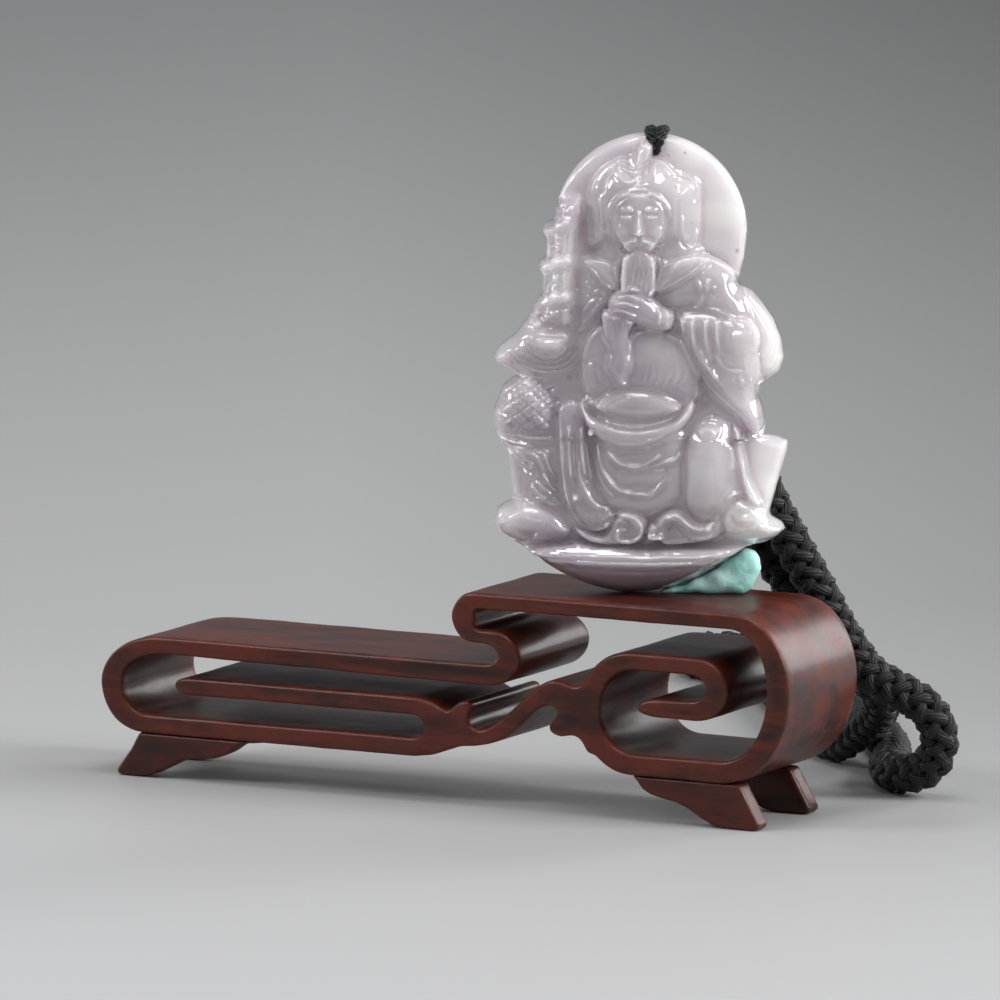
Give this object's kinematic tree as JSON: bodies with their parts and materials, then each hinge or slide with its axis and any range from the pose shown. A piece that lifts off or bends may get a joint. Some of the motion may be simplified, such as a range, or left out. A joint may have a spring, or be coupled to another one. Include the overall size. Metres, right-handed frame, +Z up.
{
  "type": "jade amulet pendant on a wooden scroll stand",
  "caption": "Carved jade amulet pendant, a seated bearded sage with a round halo, on a bent wooden scroll stand with putty, and a knotted black neck cord.",
  "frame": {"origin": "on the surface that the stand rests on, below the middle of the stand", "axes": "+X along the stand towards the pendant's end, -Y towards the front that the carving faces, +Z up"},
  "size_m": [0.1098, 0.1228, 0.0901],
  "materials": {
    "jade": "polished translucent lavender-white jade",
    "fine_braid": "fine plaited black thread",
    "cord": "knotted black cord, matt",
    "putty": "soft turquoise putty",
    "rosewood": "oiled dark rosewood, satin, with worn edges",
    "rosewood_feet": "oiled dark rosewood, satin"
  },
  "bodies": {
    "root": {"jade_figure": "jade", "bail_braid": "fine_braid", "bail_knot": "cord", "neck_cord": "cord", "putty": "putty", "stand_scroll": "rosewood", "foot_front_left": "rosewood_feet", "foot_front_right": "rosewood_feet", "foot_back_left": "rosewood_feet", "foot_back_right": "rosewood_feet"}
  },
  "joints": []
}
